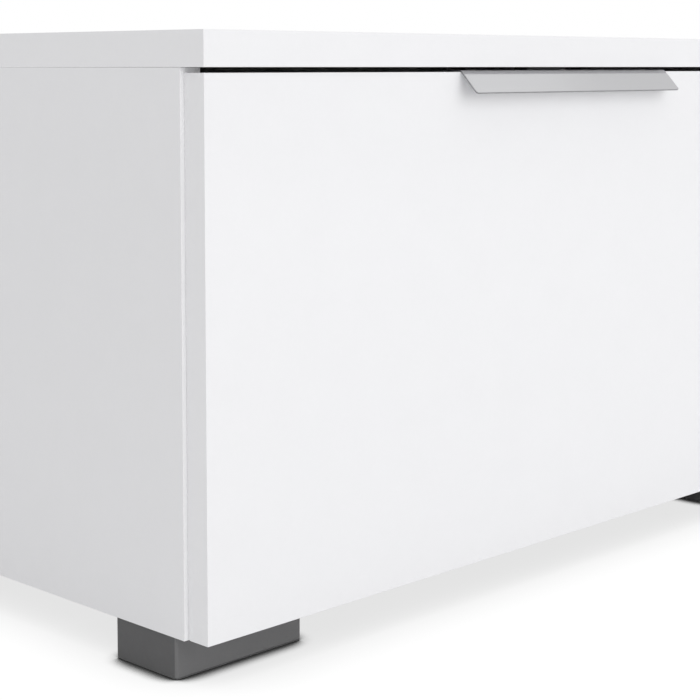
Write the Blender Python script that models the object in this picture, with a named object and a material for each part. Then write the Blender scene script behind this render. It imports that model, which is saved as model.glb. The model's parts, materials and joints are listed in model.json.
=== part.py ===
"""Low TV stand: two boxes with drop-down doors, side by side under one top, on block feet.

Metres, +Z up, +X along the width, the doors face -Y. The origin is on the floor, under the middle of
the whole stand, handles included. Each door turns about its bottom hinges, and two stays let it down:
a rod that is hinged on the door slides through a swivel on the side panel. Both pivots of a stay lie
at the same radius from the door's axis, so the rod and the swivel turn by exactly half the door's angle.
"""

import math

import bmesh
import bpy
from mathutils import Matrix, Vector

MM = 0.001

# Driving dimensions
BAY_W = 710 * MM  # one box with its door
TOP_DEPTH = 420 * MM
TOP_T = 22 * MM
FOOT_H = 28 * MM
DOOR_H = 345.6 * MM
DOOR_T = 17.8 * MM
TOP_GAP = 3.5 * MM  # shadow gap over the doors
BOARD_T = 16 * MM  # sides and bottoms
BACK_T = 3 * MM
FIT = 0.3 * MM  # between boards that touch
DOOR_FIT = 0.4 * MM  # between a closed door and the front edges of its box
DOOR_REVEAL = 3.15 * MM  # side panel edge left showing beside a door
TOP_OVERHANG = 3.45 * MM  # the top stands this far in front of the doors
EASED = 0.5 * MM

# Feet
FOOT_X, FOOT_Y = 106.6 * MM, 59.6 * MM
FOOT_INSET_X = 2.4 * MM
FOOT_INSET_FRONT = 28.9 * MM  # behind the doors' front faces
FOOT_INSET_BACK = 30 * MM
FOOT_CORNER_R, FOOT_EDGE_R = 2.5 * MM, 1.2 * MM

# Handle: a folded strip over the door's top edge
HANDLE_L = 242.8 * MM
HANDLE_T = 1.15 * MM
HANDLE_FLANGE = 15 * MM
LIP_OUT, LIP_DROP = 14.9 * MM, 15.4 * MM
LIP_CORNER_R = 2 * MM

# Cable hole in each back panel
CABLE_HOLE_X, CABLE_HOLE_Z = 45 * MM, 25 * MM  # half width, half height
CABLE_HOLE_R = 12 * MM
CABLE_HOLE_UP = 55 * MM  # its middle over the bottom panel

# Door hinges
AXIS_UP = 2.5 * MM  # door axis over the door's bottom edge
AXIS_IN = 10 * MM  # door axis in front of the door's inner face
KNUCKLE_R, BORE_R, PIN_R = 2.5 * MM, 1.4 * MM, 1.28 * MM
LEAF_W, LEAF_T = 60 * MM, 1.5 * MM
LEAF_REACH_FRAME, LEAF_REACH_DOOR = 45 * MM, 32 * MM
KNUCKLE_MID = 11.5 * MM  # half the length of the door leaf's knuckle
HINGE_FROM_END = 150 * MM  # hinge middle from the end of the door, clear of the feet
ROOM = 0.4 * MM  # round moving hinge and stay pieces

# Stays
STAY_R = 160 * MM  # both pivots from the door's axis
STAY_OFF_DOOR = 12 * MM  # door pivot behind the door's inner face
STAY_BACK = math.radians(44)  # swivel pivot, behind the vertical through the door's axis
ROD_R = 3 * MM
ROD_X = 14 * MM  # rod's middle off the side panel
SWIVEL_R = 9 * MM
SWIVEL_X = (5 * MM, 20 * MM)
STUD_R, STUD_END = 3 * MM, 9.2 * MM
EYE_R, EYE_HALF = 6.5 * MM, 3 * MM
EYE_HOLE_R = 2.7 * MM
COLLAR_R, COLLAR_L = 5 * MM, 4 * MM
STAY_PLATE_Y, STAY_PLATE_Z, STAY_PLATE_T = 17 * MM, 23 * MM, 2 * MM  # half sizes, thickness
STAY_PLATE_R = 6 * MM
STUD_ROOM = 0.1 * MM
BRACKET_X = (3 * MM, 29 * MM)  # its foot plate, off the side panel
BRACKET_Z, BRACKET_T = 14 * MM, 2 * MM  # half height, thickness
EAR_X = (5 * MM, 8 * MM)
EAR_PIN_R, RIVET_R, RIVET_T = 2.5 * MM, 4 * MM, 1.5 * MM
OPEN_ANGLE = math.radians(90)

# Magnetic catch under the top, and its strike plate on the door
STRIKE_X, STRIKE_Z, STRIKE_T = 19 * MM, 12 * MM, 1 * MM  # half width, height, thickness
STRIKE_DOWN = 2 * MM  # under the door's top edge
CATCH_X, CATCH_Y, CATCH_Z = 23 * MM, 14 * MM, 13 * MM  # half width, depth, height

# Bolts that join the two boxes
BOLT_R, BOLT_HEAD_R, BOLT_HEAD_T = 4 * MM, 7.5 * MM, 2.2 * MM
BOLT_INSET = 60 * MM  # from the sides' front, back and top edges

# Levels and planes
CASE_Z0 = FOOT_H
CASE_Z1 = CASE_Z0 + DOOR_H + TOP_GAP
TOP_Z1 = CASE_Z1 + TOP_T
LIP_FRONT = TOP_OVERHANG - LIP_OUT  # from the top's front, so it is negative
Y_TOP_FRONT = -(TOP_DEPTH - LIP_FRONT) / 2 - LIP_FRONT
Y_BACK = Y_TOP_FRONT + TOP_DEPTH
Y_DOOR_FRONT = Y_TOP_FRONT + TOP_OVERHANG
Y_DOOR_BACK = Y_DOOR_FRONT + DOOR_T
Y_CASE_FRONT = Y_DOOR_BACK + DOOR_FIT
Y_BOARD_BACK = Y_BACK - BACK_T
AXIS_Y = Y_DOOR_BACK - AXIS_IN
AXIS_Z = CASE_Z0 + AXIS_UP

ROUND = 20  # sides of small round pieces
ENDS = ("outer", "inner")


def clear_scene():
    for obj in list(bpy.data.objects):
        bpy.data.objects.remove(obj, do_unlink=True)


def finish(name, colour, roughness, metallic=0.0):
    material = bpy.data.materials.new(name)
    material.use_nodes = True
    shader = material.node_tree.nodes["Principled BSDF"]
    shader.inputs["Base Color"].default_value = (*colour, 1.0)
    shader.inputs["Roughness"].default_value = roughness
    shader.inputs["Metallic"].default_value = metallic
    return material


def add_object(name, bm, material, parent=None, at=(0, 0, 0)):
    """Makes an object of a mesh that is built round the point `at`, which becomes its origin."""
    at = Vector(at)
    bmesh.ops.translate(bm, verts=bm.verts, vec=-at)
    bmesh.ops.recalc_face_normals(bm, faces=bm.faces)
    mesh = bpy.data.meshes.new(name)
    bm.to_mesh(mesh)
    bm.free()
    obj = bpy.data.objects.new(name, mesh)
    bpy.context.scene.collection.objects.link(obj)
    if material:
        mesh.materials.append(material)
    obj.location = at - parent.location if parent else at
    obj.parent = parent
    return obj


def box_mesh(low, high):
    bm = bmesh.new()
    bmesh.ops.create_cube(bm, size=1)
    low, high = Vector(low), Vector(high)
    bmesh.ops.scale(bm, vec=high - low, verts=bm.verts)
    bmesh.ops.translate(bm, vec=(low + high) / 2, verts=bm.verts)
    return bm


def rod_mesh(start, end, radius, sides=ROUND):
    start, end = Vector(start), Vector(end)
    bm = bmesh.new()
    bmesh.ops.create_cone(bm, cap_ends=True, segments=sides, radius1=radius, radius2=radius,
                          depth=(end - start).length)
    turn = (end - start).to_track_quat("Z", "Y").to_matrix().to_4x4()
    bmesh.ops.transform(bm, matrix=Matrix.Translation((start + end) / 2) @ turn, verts=bm.verts)
    return bm


def outline_mesh(points, along):
    """A flat outline pushed along a vector."""
    bm = bmesh.new()
    face = bm.faces.new([bm.verts.new(p) for p in points])
    pushed = bmesh.ops.extrude_face_region(bm, geom=[face])["geom"]
    corners = [v for v in pushed if isinstance(v, bmesh.types.BMVert)]
    bmesh.ops.translate(bm, verts=corners, vec=along)
    return bm


def board(name, low, high, material, parent=None, eased=0.0):
    middle = (Vector(low) + Vector(high)) / 2
    obj = add_object(name, box_mesh(low, high), material, parent, middle)
    if eased:
        edge = obj.modifiers.new("eased_edges", "BEVEL")
        edge.width = eased
        edge.segments = 1
    return obj


def combine(obj, bm, operation, label):
    """Adds to obj, or cuts from it, a helper solid that isn't itself a piece."""
    helper = add_object(f"{obj.name}_{label}", bm, None)
    helper.hide_render = True
    helper.display_type = "WIRE"
    step = obj.modifiers.new(label, "BOOLEAN")
    step.operation = operation
    step.object = helper
    return obj


def cut(obj, bm, label):
    return combine(obj, bm, "DIFFERENCE", label)


def join(obj, bm, label):
    return combine(obj, bm, "UNION", label)


def smooth_round(obj):
    obj.data.shade_smooth()
    obj.data.set_sharp_from_angle(angle=math.radians(35))
    return obj


def axis_empty(name, at):
    empty = bpy.data.objects.new(name, None)
    bpy.context.scene.collection.objects.link(empty)
    empty.location = at
    return empty


def rounded_rectangle(half_x, half_z, radius, y, middle, steps=6):
    """Points of a rectangle with round corners in a plane of constant y."""
    points = []
    for sx, sz, first in ((1, 1, 0), (-1, 1, 90), (-1, -1, 180), (1, -1, 270)):
        for i in range(steps + 1):
            a = math.radians(first + 90 * i / steps)
            points.append((middle[0] + sx * (half_x - radius) + radius * math.cos(a), y,
                           middle[1] + sz * (half_z - radius) + radius * math.sin(a)))
    return points


class Bay:
    """One box with its door. side is -1 for the left bay and 1 for the right one."""

    def __init__(self, label, side):
        self.label = label
        self.side = side
        self.ends = {"outer": side * BAY_W, "inner": side * FIT / 2}
        self.middle = side * BAY_W / 2

    def span(self, a, b):
        """Two x positions, lower first."""
        return min(a, b), max(a, b)

    def inward(self, end):
        """1 or -1: the way from this end's board into the bay."""
        return -self.side if end == "outer" else self.side

    def inner_face(self, end):
        return self.ends[end] + self.inward(end) * BOARD_T

    def between_boards(self, room=FIT):
        return self.span(self.inner_face("outer") + self.inward("outer") * room,
                         self.inner_face("inner") + self.inward("inner") * room)

    def door_span(self):
        return self.span(self.side * (BAY_W - DOOR_REVEAL), self.side * DOOR_REVEAL)

    def hinge_x(self, end):
        low, high = self.door_span()
        at_low = (self.side < 0) == (end == "outer")
        return low + HINGE_FROM_END if at_low else high - HINGE_FROM_END


def side_panel(bay, end):
    x0, x1 = bay.span(bay.ends[end], bay.inner_face(end))
    return board(f"side_panel_{bay.label}_{end}", (x0, Y_CASE_FRONT, CASE_Z0),
                 (x1, Y_BACK, CASE_Z1 - FIT), MAT["satin_white"])


def bottom_panel(bay):
    x0, x1 = bay.between_boards()
    panel = board(f"bottom_panel_{bay.label}", (x0, Y_CASE_FRONT, CASE_Z0),
                  (x1, Y_BOARD_BACK - FIT, CASE_Z0 + BOARD_T), MAT["satin_white"])
    for end in ENDS:
        x = bay.hinge_x(end)
        half = LEAF_W / 2 + ROOM
        rebate = box_mesh((x - half, Y_CASE_FRONT - ROOM, CASE_Z0 - ROOM),
                          (x + half, AXIS_Y + LEAF_REACH_FRAME + ROOM, CASE_Z0 + LEAF_T + ROOM))
        cut(panel, rebate, f"leaf_rebate_{end}")
    return panel


def back_panel(bay):
    x0, x1 = bay.between_boards()
    panel = board(f"back_panel_{bay.label}", (x0, Y_BOARD_BACK, CASE_Z0),
                  (x1, Y_BACK, CASE_Z1 - FIT), MAT["back_board"])
    middle = (bay.middle, CASE_Z0 + BOARD_T + CABLE_HOLE_UP)
    outline = rounded_rectangle(CABLE_HOLE_X, CABLE_HOLE_Z, CABLE_HOLE_R, Y_BOARD_BACK - BACK_T, middle)
    return cut(panel, outline_mesh(outline, (0, 3 * BACK_T, 0)), "cable_hole")


def foot(bay, end, place):
    """A moulded block: wide along X, with round upright corners and a softened bottom edge."""
    way = bay.inward(end)
    start = bay.ends[end] + way * FOOT_INSET_X
    x0, x1 = bay.span(start, start + way * FOOT_X)
    y0 = Y_DOOR_FRONT + FOOT_INSET_FRONT if place == "front" else Y_BACK - FOOT_INSET_BACK - FOOT_Y
    bm = box_mesh((x0, y0, 0), (x1, y0 + FOOT_Y, FOOT_H - FIT))
    upright = [e for e in bm.edges if abs((e.verts[0].co - e.verts[1].co).z) > FOOT_H / 2]
    bmesh.ops.bevel(bm, geom=upright, offset=FOOT_CORNER_R, segments=4, affect="EDGES", profile=0.5)
    under = [e for e in bm.edges if all(v.co.z < FIT for v in e.verts)]
    bmesh.ops.bevel(bm, geom=under, offset=FOOT_EDGE_R, segments=2, affect="EDGES", profile=0.5)
    middle = ((x0 + x1) / 2, y0 + FOOT_Y / 2, 0)
    return smooth_round(add_object(f"foot_{bay.label}_{place}_{end}", bm, MAT["foot_plastic"], at=middle))


def door(bay, hinge_line):
    x0, x1 = bay.door_span()
    panel = board(f"door_{bay.label}", (x0, Y_DOOR_FRONT, CASE_Z0), (x1, Y_DOOR_BACK, CASE_Z0 + DOOR_H),
                  MAT["gloss_white"], hinge_line, EASED)
    behind, below = Y_DOOR_BACK + ROOM, CASE_Z0 - ROOM
    knuckle_room = KNUCKLE_R + ROOM
    leaf_front = AXIS_Y + KNUCKLE_R - LEAF_T - ROOM
    leaf_top = AXIS_Z + LEAF_REACH_DOOR + ROOM
    section = [(AXIS_Y - knuckle_room, below), (AXIS_Y - knuckle_room, AXIS_Z + knuckle_room),
               (leaf_front, AXIS_Z + knuckle_room), (leaf_front, leaf_top), (behind, leaf_top), (behind, below)]
    for end in ENDS:
        half = LEAF_W / 2 + ROOM
        points = [(bay.hinge_x(end) - half, y, z) for y, z in section]
        cut(panel, outline_mesh(points, (2 * half, 0, 0)), f"hinge_pocket_{end}")
    return panel


def handle(bay, hinge_line):
    """A strip of constant thickness: a flange on the door's top edge, then a lip down and forwards."""
    top = CASE_Z0 + DOOR_H + FIT + HANDLE_T
    bend = Vector((0, Y_DOOR_FRONT - EASED, top))
    tip = Vector((0, Y_DOOR_FRONT - LIP_OUT, top - LIP_DROP))
    along = (tip - bend).normalized()
    inward = Vector((0, -along.z, along.y))
    inward *= 1 if inward.y > 0 else -1
    half_turn = math.atan2(-along.z, -along.y) / 2
    inner_bend = bend + Vector((0, HANDLE_T * math.tan(half_turn), -HANDLE_T))
    rear = Y_DOOR_FRONT + HANDLE_FLANGE
    section = [(0, rear, top), bend, tip, tip + inward * HANDLE_T, inner_bend, (0, rear, top - HANDLE_T)]
    start = Vector((bay.middle - HANDLE_L / 2, 0, 0))
    bm = outline_mesh([Vector(p) + start for p in section], (HANDLE_L, 0, 0))
    at_tip = tip.z + HANDLE_T
    corners = [e for e in bm.edges
               if abs((e.verts[0].co - e.verts[1].co).x) < FIT and all(v.co.z < at_tip for v in e.verts)]
    bmesh.ops.bevel(bm, geom=corners, offset=LIP_CORNER_R, segments=3, affect="EDGES", profile=0.5)
    at = (bay.middle, bend.y, top)
    return add_object(f"handle_{bay.label}", bm, MAT["handle_aluminium"], hinge_line, at)


def hinge(bay, end, hinge_line):
    """A butt hinge: the frame leaf lies under the bottom panel, the door leaf in a pocket of the door."""
    at = Vector((bay.hinge_x(end), AXIS_Y, AXIS_Z))
    half, notch = LEAF_W / 2, KNUCKLE_MID + ROOM
    clear = KNUCKLE_R + 2 * ROOM

    def along_axis(x0, x1, radius):
        return rod_mesh(at + Vector((x0, 0, 0)), at + Vector((x1, 0, 0)), radius)

    plan = [(-half, 0), (-notch, 0), (-notch, clear), (notch, clear), (notch, 0), (half, 0),
            (half, LEAF_REACH_FRAME), (-half, LEAF_REACH_FRAME)]
    bm = outline_mesh([at + Vector((x, y, -KNUCKLE_R)) for x, y in plan], (0, 0, LEAF_T))
    frame_leaf = add_object(f"hinge_frame_leaf_{bay.label}_{end}", bm, MAT["steel"], at=at)
    join(frame_leaf, along_axis(-notch, -half, KNUCKLE_R), "knuckle_left")
    join(frame_leaf, along_axis(notch, half, KNUCKLE_R), "knuckle_right")
    cut(frame_leaf, along_axis(-half - ROOM, half + ROOM, BORE_R), "bore")

    plan = [(-half, clear), (-KNUCKLE_MID, clear), (-KNUCKLE_MID, 0), (KNUCKLE_MID, 0), (KNUCKLE_MID, clear),
            (half, clear), (half, LEAF_REACH_DOOR), (-half, LEAF_REACH_DOOR)]
    bm = outline_mesh([at + Vector((x, KNUCKLE_R, z)) for x, z in plan], (0, -LEAF_T, 0))
    door_leaf = add_object(f"hinge_door_leaf_{bay.label}_{end}", bm, MAT["steel"], hinge_line, at)
    join(door_leaf, along_axis(-KNUCKLE_MID, KNUCKLE_MID, KNUCKLE_R), "knuckle")
    cut(door_leaf, along_axis(-half, half, BORE_R), "bore")

    pin = along_axis(-half - FIT, half + FIT, PIN_R)
    smooth_round(add_object(f"hinge_pin_{bay.label}_{end}", pin, MAT["steel"], at=at))


def stay_points(door_angle=0.0):
    """(y, z) of the door pivot and of the swivel pivot when the door has turned by door_angle."""
    lean = math.asin((AXIS_IN + STAY_OFF_DOOR) / STAY_R) - door_angle
    door_pivot = Vector((AXIS_Y + STAY_R * math.sin(lean), AXIS_Z + STAY_R * math.cos(lean)))
    swivel = Vector((AXIS_Y + STAY_R * math.sin(STAY_BACK), AXIS_Z + STAY_R * math.cos(STAY_BACK)))
    return door_pivot, swivel


class StayFrame:
    """Where one end's stay lies. Points are given by their distance off the side panel and (y, z)."""

    def __init__(self, bay, end, hinge_line):
        self.tag = f"{bay.label}_{end}"
        self.face, self.way = bay.inner_face(end), bay.inward(end)
        self.hinge_line = hinge_line
        self.door_pivot, self.swivel_pivot = stay_points()
        self.rod_way = (self.swivel_pivot - self.door_pivot).normalized()

    def at(self, offset, point, shift=Vector((0, 0))):
        return Vector((self.face + self.way * offset, point.x + shift.x, point.y + shift.y))

    def cross_rod(self, x0, x1, point, radius, sides=ROUND):
        """A round bar across the bay at a pivot."""
        return rod_mesh(self.at(x0, point), self.at(x1, point), radius, sides)

    def along_rod(self, start, end, point, radius, sides=ROUND):
        """A round bar in the rod's own direction, from a pivot."""
        first = self.at(ROD_X, point, self.rod_way * start)
        return rod_mesh(first, self.at(ROD_X, point, self.rod_way * end), radius, sides)

    def block(self, offsets, y0, y1, z0, z1):
        x0, x1 = sorted(self.face + self.way * offset for offset in offsets)
        return box_mesh((x0, y0, z0), (x1, y1, z1))


def stay_plate(frame):
    """The plate on the side panel, with the stud that the swivel turns on."""
    pivot = frame.swivel_pivot
    bm = frame.block((FIT, FIT + STAY_PLATE_T), pivot.x - STAY_PLATE_Y, pivot.x + STAY_PLATE_Y,
                     pivot.y - STAY_PLATE_Z, pivot.y + STAY_PLATE_Z)
    corners = [e for e in bm.edges if abs((e.verts[0].co - e.verts[1].co).x) > STAY_PLATE_T / 2]
    bmesh.ops.bevel(bm, geom=corners, offset=STAY_PLATE_R, segments=4, affect="EDGES", profile=0.5)
    plate = add_object(f"stay_plate_{frame.tag}", bm, MAT["steel"], at=frame.at(0, pivot))
    join(plate, frame.cross_rod(STAY_PLATE_T / 2, STUD_END, pivot, STUD_R), "stud")


def stay_swivel(frame):
    """A short drum on the stud, with the rod's hole through it."""
    pivot = frame.swivel_pivot
    line = axis_empty(f"swivel_axis_{frame.tag}", frame.at(0, pivot))
    bm = frame.cross_rod(*SWIVEL_X, pivot, SWIVEL_R, 28)
    swivel = add_object(f"stay_swivel_{frame.tag}", bm, MAT["grey_plastic"], line, frame.at(0, pivot))
    stud_hole = frame.cross_rod(SWIVEL_X[0] - MM, STUD_END + ROOM, pivot, STUD_R + STUD_ROOM)
    cut(swivel, stud_hole, "stud_hole")
    cut(swivel, frame.along_rod(-2 * SWIVEL_R, 2 * SWIVEL_R, pivot, ROD_R + ROOM), "rod_hole")
    smooth_round(swivel)


def stay_rod(frame):
    """An eye on the door's pivot, and a collar that meets the swivel when the door is open."""
    pivot = frame.door_pivot
    open_chord = (frame.swivel_pivot - stay_points(OPEN_ANGLE)[0]).length
    length = open_chord + SWIVEL_R + ROOM
    line = axis_empty(f"rod_axis_{frame.tag}", frame.at(0, pivot))
    eye = frame.cross_rod(ROD_X - EYE_HALF, ROD_X + EYE_HALF, pivot, EYE_R, 24)
    rod = add_object(f"stay_rod_{frame.tag}", eye, MAT["steel"], line, frame.at(0, pivot))
    join(rod, frame.along_rod(EYE_R / 2, length + COLLAR_L, pivot, ROD_R * 0.98, 16), "shaft")
    join(rod, frame.along_rod(length, length + COLLAR_L, pivot, COLLAR_R), "collar")
    cut(rod, frame.cross_rod(ROD_X - 2 * EYE_HALF, ROD_X + 2 * EYE_HALF, pivot, EYE_HOLE_R), "eye_hole")
    smooth_round(rod)


def stay_bracket(frame):
    """A foot plate on the door, with an ear and the riveted pin that the rod's eye turns on."""
    pivot = frame.door_pivot
    y0, z = Y_DOOR_BACK + FIT, pivot.y
    bm = frame.block(BRACKET_X, y0, y0 + BRACKET_T, z - BRACKET_Z, z + BRACKET_Z)
    at = frame.at(0, pivot)
    bracket = add_object(f"stay_bracket_{frame.tag}", bm, MAT["steel"], frame.hinge_line, at)
    join(bracket, frame.block(EAR_X, y0 + BRACKET_T / 2, pivot.x, z - EYE_R, z + EYE_R), "ear")
    join(bracket, frame.cross_rod(*EAR_X, pivot, EYE_R, 24), "ear_end")
    pin_end = ROD_X + EYE_HALF + ROOM
    join(bracket, frame.cross_rod(EAR_X[0] + MM, pin_end + MM, pivot, EAR_PIN_R), "pin")
    join(bracket, frame.cross_rod(pin_end, pin_end + RIVET_T, pivot, RIVET_R), "rivet")


def stay(bay, end, hinge_line):
    frame = StayFrame(bay, end, hinge_line)
    for make in (stay_plate, stay_swivel, stay_rod, stay_bracket):
        make(frame)


def catch(bay, hinge_line):
    """A magnet under the top, and the steel plate on the door that it holds."""
    x, top = bay.middle, CASE_Z0 + DOOR_H - STRIKE_DOWN
    front = Y_DOOR_BACK + FIT
    board(f"strike_plate_{bay.label}", (x - STRIKE_X, front, top - STRIKE_Z),
          (x + STRIKE_X, front + STRIKE_T, top), MAT["steel"], hinge_line)
    face, top = front + STRIKE_T + 2 * ROOM, CASE_Z1 - FIT
    board(f"magnet_catch_{bay.label}", (x - CATCH_X, face, top - CATCH_Z),
          (x + CATCH_X, face + CATCH_Y, top), MAT["grey_plastic"])


def case_bolt(label, y, z, panels):
    """A sleeve bolt with flat heads through the two middle side panels."""
    seat = FIT / 2 + BOARD_T + FIT
    end = seat + BOLT_HEAD_T
    for panel in panels:
        cut(panel, rod_mesh((-seat - MM, y, z), (seat + MM, y, z), BOLT_R + ROOM), f"hole_{label}")
    head = rod_mesh((-end, y, z), (-seat, y, z), BOLT_HEAD_R, 24)
    bolt = add_object(f"case_bolt_{label}", head, MAT["steel"], at=(0, y, z))
    overlap = BOLT_HEAD_T / 2
    join(bolt, rod_mesh((-seat - overlap, y, z), (seat + overlap, y, z), BOLT_R), "shank")
    join(bolt, rod_mesh((seat, y, z), (end, y, z), BOLT_HEAD_R, 24), "head")
    smooth_round(bolt)


def top_panel():
    board("top_panel", (-BAY_W, Y_TOP_FRONT, CASE_Z1), (BAY_W, Y_BACK, TOP_Z1),
          MAT["gloss_white"], eased=EASED)


def build():
    top_panel()
    middle_panels = []
    for label, side in (("left", -1), ("right", 1)):
        bay = Bay(label, side)
        side_panel(bay, "outer")
        middle_panels.append(side_panel(bay, "inner"))
        bottom_panel(bay)
        back_panel(bay)
        hinge_line = axis_empty(f"door_axis_{label}", (bay.middle, AXIS_Y, AXIS_Z))
        door(bay, hinge_line)
        handle(bay, hinge_line)
        catch(bay, hinge_line)
        for end in ENDS:
            hinge(bay, end, hinge_line)
            stay(bay, end, hinge_line)
            for place in ("front", "rear"):
                foot(bay, end, place)
    case_bolt("front", Y_CASE_FRONT + BOLT_INSET, CASE_Z1 - BOLT_INSET, middle_panels)
    case_bolt("rear", Y_BACK - BOLT_INSET, CASE_Z1 - BOLT_INSET, middle_panels)


clear_scene()
MAT = {
    "gloss_white": finish("gloss_white", (0.86, 0.87, 0.89), 0.12),
    "satin_white": finish("satin_white", (0.84, 0.85, 0.87), 0.4),
    "back_board": finish("back_board", (0.78, 0.78, 0.77), 0.6),
    "foot_plastic": finish("foot_plastic", (0.10, 0.10, 0.105), 0.35),
    "grey_plastic": finish("grey_plastic", (0.35, 0.36, 0.37), 0.45),
    "handle_aluminium": finish("handle_aluminium", (0.62, 0.63, 0.64), 0.3, 1.0),
    "steel": finish("steel", (0.55, 0.55, 0.56), 0.28, 1.0),
}
build()
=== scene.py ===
"""Looks of a low TV stand: two boxes with drop-down doors under one lacquered top, on block feet.

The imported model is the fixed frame. Boards, pulls and feet are modelled afresh at the sizes that
the frame gives, and stand for their CAD nodes. The small metal fittings are refined copies of theirs,
with screws added. Each piece rides on the body that it belongs to, so the doors open with everything
that is fixed on them.
"""

import json
import logging
import math
from contextlib import contextmanager
from dataclasses import dataclass, field
from enum import Enum
from typing import Any, Callable, Iterator, Sequence

import bmesh
import bpy
from mathutils import Matrix, Vector

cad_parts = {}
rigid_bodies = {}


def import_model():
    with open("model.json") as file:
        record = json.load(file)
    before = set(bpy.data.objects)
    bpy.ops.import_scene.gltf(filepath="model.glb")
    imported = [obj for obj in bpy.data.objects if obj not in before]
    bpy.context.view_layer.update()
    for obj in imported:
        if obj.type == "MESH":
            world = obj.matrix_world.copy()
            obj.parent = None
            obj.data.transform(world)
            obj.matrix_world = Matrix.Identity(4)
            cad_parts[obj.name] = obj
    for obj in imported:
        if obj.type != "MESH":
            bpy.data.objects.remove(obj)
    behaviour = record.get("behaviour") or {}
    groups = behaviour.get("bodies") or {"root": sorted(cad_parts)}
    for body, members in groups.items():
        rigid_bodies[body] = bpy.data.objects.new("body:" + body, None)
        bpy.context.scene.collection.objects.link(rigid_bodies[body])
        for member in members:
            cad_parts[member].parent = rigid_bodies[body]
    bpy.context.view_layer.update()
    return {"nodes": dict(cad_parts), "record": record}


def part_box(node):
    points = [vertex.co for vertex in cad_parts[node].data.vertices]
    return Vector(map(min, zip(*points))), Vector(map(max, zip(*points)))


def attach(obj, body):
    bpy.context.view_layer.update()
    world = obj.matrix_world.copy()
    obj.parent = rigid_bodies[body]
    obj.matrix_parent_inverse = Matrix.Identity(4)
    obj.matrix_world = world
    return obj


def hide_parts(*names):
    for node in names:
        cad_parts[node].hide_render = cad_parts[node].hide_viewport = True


for startup in list(bpy.data.objects):
    bpy.data.objects.remove(startup, do_unlink=True)
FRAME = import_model()

LOG = logging.getLogger("tv_stand")
MM = 0.001
X, Y, Z = Vector((1, 0, 0)), Vector((0, 1, 0)), Vector((0, 0, 1))
Colour = tuple[float, float, float]
Place = tuple[float, float, float]
Spots = Sequence[tuple[Vector, Vector]]

PARALLEL = 0.999  # cosine from which two ways count as one
NEAR = 0.01 * MM  # distance within which two places count as one
PAST = 1 * MM  # how far a cutter runs on past the surface that it opens
WELD = 0.005 * MM  # distance within which corners of a CAD copy are merged
FLAT = 0.5  # degrees within which faces of a CAD copy are merged


class Part(Enum):
    """The kinds of mesh element that can be picked in edit mode."""

    CORNERS = "VERT"
    EDGES = "EDGE"
    FACES = "FACE"


class Side(Enum):
    """The two bays, with the sign of their x."""

    LEFT = -1
    RIGHT = 1

    @property
    def label(self) -> str:
        """The word that the frame's names use for this bay."""
        return self.name.lower()


class End(Enum):
    """The two ends of a bay: at the stand's own end, or beside the other bay."""

    OUTER = "outer"
    INNER = "inner"


# ---------------------------------------------------------------- bench work


def alone(piece: bpy.types.Object) -> bpy.types.Object:
    """Makes a piece the only selected and the active one.

    Args:
        piece: the piece to select.

    Returns:
        The same piece.
    """
    bpy.ops.object.select_all(action="DESELECT")
    piece.select_set(True)
    bpy.context.view_layer.objects.active = piece
    return piece


def settle(piece: bpy.types.Object, name: str) -> bpy.types.Object:
    """Names a new piece and puts its place into its mesh, with its object at the origin.

    Args:
        piece: the new piece.
        name: its name.

    Returns:
        The same piece.
    """
    piece.name = piece.data.name = name
    alone(piece)
    bpy.ops.object.transform_apply(location=True, rotation=True, scale=True)
    return piece


def block(name: str, low: Sequence[float], high: Sequence[float]) -> bpy.types.Object:
    """A box between two corners, to be shaped further.

    Args:
        name: the piece's name.
        low: its lowest corner.
        high: its highest corner.

    Returns:
        The new piece.
    """
    low, high = Vector(low), Vector(high)
    bpy.ops.object.select_all(action="DESELECT")
    bpy.ops.mesh.primitive_cube_add(size=1.0, location=(low + high) / 2)
    bpy.context.object.scale = high - low
    return settle(bpy.context.object, name)


def drum(name: str, start: Vector, end: Vector, radius: float, sides: int = 32) -> bpy.types.Object:
    """A round bar between two points, to be shaped further.

    Args:
        name: the piece's name.
        start: the middle of one end.
        end: the middle of the other end.
        radius: its radius.
        sides: how many flats go round it.

    Returns:
        The new piece.
    """
    way = Vector(end) - Vector(start)
    bpy.ops.object.select_all(action="DESELECT")
    bpy.ops.mesh.primitive_cylinder_add(
        vertices=sides, radius=radius, depth=way.length,
        location=(Vector(start) + Vector(end)) / 2, rotation=way.to_track_quat("Z", "Y").to_euler(),
    )
    return settle(bpy.context.object, name)


@contextmanager
def editing(piece: bpy.types.Object) -> Iterator[None]:
    """Edit mode on one piece, with nothing selected in it.

    Args:
        piece: the piece to edit.

    Returns:
        A context that the mode lasts for.
    """
    alone(piece)
    bpy.ops.object.mode_set(mode="EDIT")
    bpy.ops.mesh.select_all(action="DESELECT")
    yield
    bpy.ops.object.mode_set(mode="OBJECT")


def pick(piece: bpy.types.Object, part: Part, test: Callable[[Any], bool]) -> None:
    """Selects, in edit mode, the elements of a piece that pass a test.

    Args:
        piece: the piece in edit mode.
        part: the kind of element.
        test: takes a bmesh corner, edge or face.
    """
    bpy.ops.mesh.select_mode(type=part.value)
    bpy.ops.mesh.select_all(action="DESELECT")
    mesh = bmesh.from_edit_mesh(piece.data)
    mesh.normal_update()
    elements = {Part.CORNERS: mesh.verts, Part.EDGES: mesh.edges, Part.FACES: mesh.faces}[part]
    for element in elements:
        if test(element):
            element.select_set(True)
    mesh.select_flush_mode()
    bmesh.update_edit_mesh(piece.data)


def runs_along(axis: Vector) -> Callable[[bmesh.types.BMEdge], bool]:
    """A test for edges that are parallel to an axis."""
    return lambda edge: abs((edge.verts[1].co - edge.verts[0].co).normalized().dot(axis)) > PARALLEL


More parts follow.
